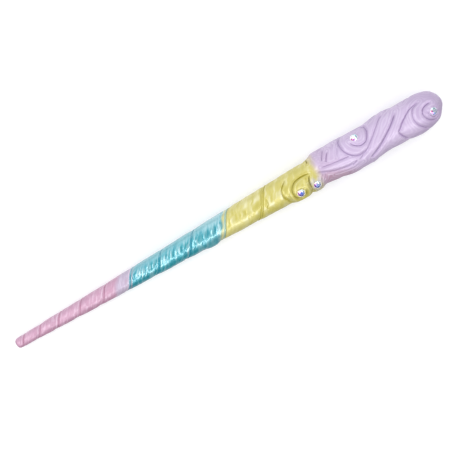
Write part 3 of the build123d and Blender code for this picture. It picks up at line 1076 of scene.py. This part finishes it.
def make_section(name, start, stop, columns, rows, slot):
    """One section of the wand with the scrolls that are let into it."""
    columns, rows = int(columns * FINE), int(rows * FINE)
    points, normal, values = sculpt(*grid(start, stop, columns, rows))
    shading = grid_normals(points, rows)
    own = slice(rows, -rows)
    points, normal = points[own], normal[own]
    values = {key: value[own] for key, value in values.items()}
    attributes = paint_values(values)
    faces = grid_faces(columns, rows)
    limits = (-math.inf if start is None else start, math.inf if stop is None else stop)
    host_points = points.copy()
    pieces = []
    for scroll in [key for key, host in SCROLL_HOSTS.items() if host == name]:
        piece, sink = make_scroll(scroll, values, (faces, points, normal, shading, attributes), limits)
        host_points -= normal * (POCKET_DEPTH * sink)[:, None]
        pieces.append(piece)
    total, ring = len(points), np.arange(rows)
    last_ring = total - rows + ring
    first, last = points[ring].mean(axis=0), points[last_ring].mean(axis=0)
    first[0] += 0 if start is None else CAP_INSET
    last[0] -= 0 if stop is None else CAP_INSET
    first_faces, first_normals = end_cap(total, ring, shading, -1, start is None)
    last_faces, last_normals = end_cap(total + 1, last_ring, shading, 1, stop is None)
    corners = np.concatenate((shading[faces].reshape(-1, 3), first_normals, last_normals))
    padded = {key: np.concatenate((a, (a[0], a[-1]))) for key, a in attributes.items()}
    all_points = np.concatenate((host_points, [first, last]))
    all_faces = list(faces) + first_faces + last_faces
    pieces.append(make_piece(f"{name}.skin", all_points, all_faces, padded, name, corners))
    return pieces


RIM_STEPS = 64
RIM_STEP = 0.12
RIM_WAVES = ((0.012, 3), (0.008, 7))
RIM_PROFILE = (
    (2.20, -0.35), (2.30, 0.10), (2.36, 0.28), (2.46, 0.32), (2.58, 0.24), (2.68, 0.02), (2.72, -0.35),
)


def make_rim(name):
    """The low rounded rim of adhesive round a stone, not quite even."""
    angles = np.linspace(0, 2 * np.pi, RIM_STEPS, endpoint=False)
    profile = smooth_curve(RIM_PROFILE, RIM_STEP)
    rows = len(profile)
    (first, first_count), (second, second_count) = RIM_WAVES
    uneven = 1 + first * np.sin(first_count * angles + len(name)) + second * np.sin(second_count * angles)
    local = np.array([
        (r * u * math.cos(a), r * u * math.sin(a), h) for a, u in zip(angles, uneven) for r, h in profile
    ])
    faces = []
    for i in range(RIM_STEPS):
        this, after = i * rows, (i + 1) % RIM_STEPS * rows
        for j in range(rows):
            k = (j + 1) % rows
            faces.append((this + k, after + k, after + j, this + j))
    points = MIDDLES[name] + local @ AXES[name]
    return make_piece(f"{name}_adhesive.rim", points, faces, {}, f"{name}_adhesive")


# ---- materials

class Nodes:
    """A short way to write a material's nodes."""

    def __init__(self, name):
        self.material = bpy.data.materials.new(name)
        self.material.use_nodes = True
        self.tree = self.material.node_tree
        self.shader = self.tree.nodes["Principled BSDF"]

    def put(self, socket, value):
        """Links a socket to a value that is another socket, or sets it."""
        if isinstance(value, bpy.types.NodeSocket):
            self.tree.links.new(value, socket)
        elif isinstance(value, tuple) and len(value) == 3 and socket.type == "RGBA":
            socket.default_value = (*value, 1.0)
        else:
            socket.default_value = value

    def add(self, kind, inputs=(), **settings):
        """Adds a node with its settings and inputs."""
        node = self.tree.nodes.new(kind)
        for key, value in settings.items():
            setattr(node, key, value)
        for key, value in dict(inputs).items():
            self.put(node.inputs[key], value)
        return node

    def attribute(self, name):
        return self.add("ShaderNodeAttribute", attribute_name=name).outputs["Fac"]

    def math(self, operation, first, second=0.0):
        node = self.add("ShaderNodeMath", operation=operation)
        self.put(node.inputs[0], first)
        self.put(node.inputs[1], second)
        return node.outputs[0]

    def mix(self, factor, first, second):
        node = self.add("ShaderNodeMix", data_type="RGBA")
        self.put(node.inputs["Factor"], factor)
        self.put(node.inputs["A"], first)
        self.put(node.inputs["B"], second)
        return node.outputs["Result"]

    def ramp(self, factor, stops):
        """A colour ramp with stops given by place and colour."""
        node = self.add("ShaderNodeValToRGB", {"Fac": factor})
        elements = node.color_ramp.elements
        while len(elements) < len(stops):
            elements.new(0.5)
        for element, (place_on_ramp, colour) in zip(elements, stops):
            element.position = place_on_ramp
            element.color = (*colour, 1.0)
        return node.outputs["Color"]

    def noise(self, scale, detail, roughness=0.55):
        """Noise in the object's own space, which is in metres."""
        where = self.add("ShaderNodeTexCoord").outputs["Object"]
        inputs = {"Scale": scale, "Detail": detail, "Roughness": roughness, "Vector": where}
        return self.add("ShaderNodeTexNoise", inputs).outputs["Fac"]

    def spread(self, value, low, high):
        """A value from 0 to 1 as one from low to high."""
        node = self.add("ShaderNodeMapRange", {"Value": value, "To Min": low, "To Max": high})
        return node.outputs["Result"]

    def shade(self, **values):
        """Sets the shader's inputs, named with underscores for spaces."""
        for key, value in values.items():
            self.put(self.shader.inputs[key.replace("_", " ")], value)


def grey(value):
    return (value, value, value)


WEAR = (-0.25, 0.45)
WEAR_DEPTH = 0.175
LIGHT_STRENGTH = 0.75
GLINT_FROM = 0.63
GLINT = 0.12
GLINT_COLOUR = grey(0.9)
ROUGH_SPREAD = (-0.05, 0.07)
SPARKLE = {"Strength": 0.25, "Distance": 0.0001}
VARNISH = {"Coat_Roughness": 0.2, "Coat_IOR": 1.9}
VARNISH_IN_CREASES = 0.1


def pearl_paint():
    """Pearl paint that reads its hue from the surface, darkens in the carving as painted shade, takes painted
    highlights and sheen from the surface's values, and is mottled by hand.
    """
    n = Nodes("pearl_paint")
    hue = n.attribute("hue")

    def by_hue(quality):
        """One quality of the four paints, for the surface's hue."""
        values = [getattr(each, quality) for each in PAINTS]
        colours = [value if isinstance(value, tuple) else grey(value) for value in values]
        return n.ramp(hue, [(i / PAINT_STEPS, colour) for i, colour in enumerate(colours)])

    broad = n.noise(120.0, 4.0)
    fine = n.noise(2600.0, 2.0)
    crease = n.attribute("crease")
    # Painted shade: creases and carved hollows take the darker colour.
    cut = n.math("MULTIPLY", crease, by_hue("cut"))
    hollow = n.math("MULTIPLY", n.attribute("hollow"), by_hue("hollow"))
    wear = n.math("MULTIPLY", n.spread(broad, *WEAR), WEAR_DEPTH)
    depth = n.math("MAXIMUM", n.math("ADD", n.math("MAXIMUM", cut, hollow), wear), 0.0)
    stroke = n.math("MULTIPLY", n.attribute("dark"), by_hue("strokes"))
    colour = n.mix(n.math("MAXIMUM", depth, stroke), by_hue("main"), by_hue("deep"))
    colour = n.mix(n.attribute("warm"), colour, WARM)
    colour = n.mix(n.attribute("pale"), colour, PALE)
    # Paler colour on stroke crests and white wear, and as painted highlights and sheen.
    colour = n.mix(n.math("MULTIPLY", n.attribute("light"), LIGHT_STRENGTH), colour, by_hue("light"))
    glint = n.math("MULTIPLY", n.math("GREATER_THAN", fine, GLINT_FROM), GLINT)
    colour = n.mix(glint, colour, GLINT_COLOUR)
    rough = n.math("ADD", by_hue("rough"), n.spread(broad, *ROUGH_SPREAD))
    sparkle = n.add("ShaderNodeBump", {"Height": fine, **SPARKLE})
    varnish = n.math("MULTIPLY", by_hue("varnish"), n.spread(crease, 1.0, VARNISH_IN_CREASES))
    n.shade(Base_Color=colour, Metallic=by_hue("metallic"), Roughness=rough)
    n.shade(Normal=sparkle.outputs["Normal"], Coat_Weight=varnish, **VARNISH)
    return n.material


# Colours by the bearing a facet faces, from 0 to 1 round from -x by -y, +x and +y: the rainbow film's
# tints, and white painted glints, both set by which way the facet faces.
FILM_AND_GLINT_COLOURS = [
    (0.0, (0.72, 0.10, 0.42)), (0.10, (0.45, 0.20, 0.75)), (0.22, (0.10, 0.22, 0.80)),
    (0.34, (0.62, 0.72, 0.98)), (0.48, (0.96, 0.97, 1.0)), (0.60, (0.12, 0.55, 0.62)),
    (0.72, (0.96, 0.98, 1.0)), (0.88, (0.98, 0.90, 0.96)), (1.0, (0.80, 0.14, 0.40)),
]
FILM_AND_GLINT_CHANCE = 0.1


def film_glass_with_painted_glints():
    """Cut glass over foil, with a rainbow film: each facet's colour is painted as a glint by the way it
    faces.
    """
    n = Nodes("film_glass_with_painted_glints")
    facet = n.add("ShaderNodeNewGeometry").outputs["True Normal"]
    facing = n.add("ShaderNodeSeparateXYZ", {"Vector": facet}).outputs
    bearing = n.math("ARCTAN2", facing["Y"], facing["X"])
    chance = n.add("ShaderNodeTexWhiteNoise", {"Vector": facet}, noise_dimensions="3D").outputs["Value"]
    place_on_ring = n.math("ADD", n.math("MULTIPLY", bearing, 0.5 / math.pi), 0.5)
    place_on_ring = n.math("ADD", place_on_ring, n.spread(chance, -FILM_AND_GLINT_CHANCE, FILM_AND_GLINT_CHANCE))
    speck = n.noise(1500.0, 1.0)
    n.shade(Base_Color=n.ramp(place_on_ring, FILM_AND_GLINT_COLOURS), Metallic=0.8, Roughness=n.spread(speck, 0.04, 0.10))
    n.shade(IOR=1.6, Coat_Weight=1.0, Coat_Roughness=0.02)
    return n.material


def silver_rim():
    """The cured adhesive round a stone, which shows its foil as a bright rim."""
    n = Nodes("clear_rim")
    cloudy = n.noise(700.0, 2.0)
    colour = n.mix(n.spread(cloudy, 0.0, 0.5), (0.80, 0.78, 0.83), (0.60, 0.56, 0.66))
    n.shade(Base_Color=colour, Metallic=0.45, Roughness=n.spread(cloudy, 0.12, 0.28), Coat_Weight=0.8)
    return n.material


def rod_steel():
    """Drawn steel, a little uneven."""
    n = Nodes("rod_steel")
    uneven = n.noise(600.0, 2.0)
    colour = n.mix(uneven, (0.42, 0.42, 0.44), (0.62, 0.62, 0.64))
    n.shade(Base_Color=colour, Metallic=1.0, Roughness=n.spread(uneven, 0.25, 0.4))
    return n.material


def dress(piece, material):
    """Gives a piece one material, whatever slots it has."""
    if not piece.material_slots:
        piece.data.materials.append(material)
    for slot in piece.material_slots:
        slot.material = material


paint = pearl_paint()
for section in SECTIONS:
    for piece in make_section(*section):
        dress(piece, paint)

glass = film_glass_with_painted_glints()
rim_material = silver_rim()
for eye in EYES:
    dress(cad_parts[f"{eye}_stone"], glass)
    dress(make_rim(eye), rim_material)
dress(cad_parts["core_rod"], rod_steel())

# ---- floor, light and camera, in metres

FLOOR_SIZE = 3.0
FLOOR_TONE = 0.70
FLOOR_GLOW = 0.33
CARD_LENGTH = 0.8
FLAG_Y = -0.030
FLAG_RANGE = (0.0005, 0.020)
FLAG_TONE = 0.08
BOUNCE_RANGE = (0.004, 0.15)
BOUNCE_Z = -0.0005
BOUNCE_TONE = 0.85

# Each lamp: the degrees it leans from straight up towards +x and +y, its length, width, power and colour.
Lamp = namedtuple("Lamp", "name lean_x lean_y long wide power colour", defaults=((1.0, 1.0, 1.0),))
LAMPS = [
    Lamp("key_strip", 0, -45, 1.6, 0.28, 4.8),
    Lamp("wide_card", 0, 58, 1.6, 0.9, 3.6, (0.94, 0.96, 1.0)),
    Lamp("tip_end", -36, 4, 0.35, 0.7, 3.4),
    Lamp("butt_end", 42, 4, 0.35, 0.7, 1.8),
]
LAMP_DISTANCE = 0.9
AIM = np.array((0.0, 0.0, 0.01))
STUDIO_COLOUR = (0.42, 0.43, 0.45, 1.0)

VIEW_TURN = math.radians(29.9)
VIEW_CENTRE = (-0.0008, -0.00515)
VIEW_HEIGHT = 0.87
VIEW_LENS = 100.0
VIEW_SENSOR = 36.0


def make_floor():
    """A plain pale floor that takes the wand's shadow, and lets light pass to and from the card below it."""
    bpy.ops.mesh.primitive_plane_add(size=FLOOR_SIZE)
    floor = bpy.context.object
    floor.name = "floor"
    n = Nodes("floor_paper")
    n.shade(Base_Color=grey(FLOOR_TONE), Roughness=0.9, Specular_IOR_Level=0.1)
    n.shade(Emission_Color=grey(1.0), Emission_Strength=FLOOR_GLOW)
    dress(floor, n.material)
    floor.visible_diffuse = floor.visible_glossy = floor.visible_shadow = False


def make_lamp(lamp):
    """A soft rectangular lamp that shines at the wand."""
    light = bpy.data.lights.new(lamp.name, "AREA")
    light.shape = "RECTANGLE"
    light.size, light.size_y = lamp.long, lamp.wide
    light.energy = lamp.power
    light.color = lamp.colour
    holder = bpy.data.objects.new(lamp.name, light)
    bpy.context.scene.collection.objects.link(holder)
    lean_x, lean_y = math.radians(lamp.lean_x), math.radians(lamp.lean_y)
    upright = math.cos(lean_x) * math.cos(lean_y)
    direction = np.array((math.sin(lean_x), math.sin(lean_y), upright))
    holder.location = tuple(AIM + LAMP_DISTANCE * direction)
    holder.rotation_euler = (-lean_y, lean_x, 0.0)
    holder.visible_camera = False


def make_card(name, near, far, tone, gloss_only):
    """A card along the wand that the camera doesn't see, between two edges given by their y and z."""
    x = CARD_LENGTH / 2
    corners = [(-x, *near), (x, *near), (x, *far), (-x, *far)]
    mesh = bpy.data.meshes.new(name)
    mesh.from_pydata(corners, [], [(0, 1, 2, 3)])
    card = bpy.data.objects.new(name, mesh)
    bpy.context.scene.collection.objects.link(card)
    n = Nodes(f"{name}_paper")
    n.shade(Base_Color=grey(tone), Roughness=1.0)
    dress(card, n.material)
    card.visible_camera = card.visible_shadow = card.visible_transmission = False
    card.visible_diffuse = not gloss_only


def make_cards():
    """A dark card up the wand's near side, and a pale one flat under the floor along its far side."""
    low, high = FLAG_RANGE
    make_card("flag", (FLAG_Y, low), (FLAG_Y, high), FLAG_TONE, gloss_only=True)
    near, far = BOUNCE_RANGE
    make_card("bounce", (near, BOUNCE_Z), (far, BOUNCE_Z), BOUNCE_TONE, gloss_only=False)


def make_studio():
    """Even pale light from all round, and colours shown as they are."""
    world = bpy.data.worlds.new("studio")
    world.use_nodes = True
    background = world.node_tree.nodes["Background"]
    background.inputs["Color"].default_value = STUDIO_COLOUR
    background.inputs["Strength"].default_value = 1.0
    bpy.context.scene.world = world
    bpy.context.scene.view_settings.view_transform = "Standard"


def make_camera():
    """The camera looks straight down, turned so that the wand's butt is to the upper right."""
    lens = bpy.data.cameras.new("camera")
    lens.lens, lens.sensor_width = VIEW_LENS, VIEW_SENSOR
    camera = bpy.data.objects.new("camera", lens)
    bpy.context.scene.collection.objects.link(camera)
    camera.location = (*VIEW_CENTRE, VIEW_HEIGHT)
    camera.rotation_euler = (0.0, 0.0, -VIEW_TURN)
    bpy.context.scene.camera = camera


make_floor()
for lamp in LAMPS:
    make_lamp(lamp)
make_cards()
make_studio()
make_camera()
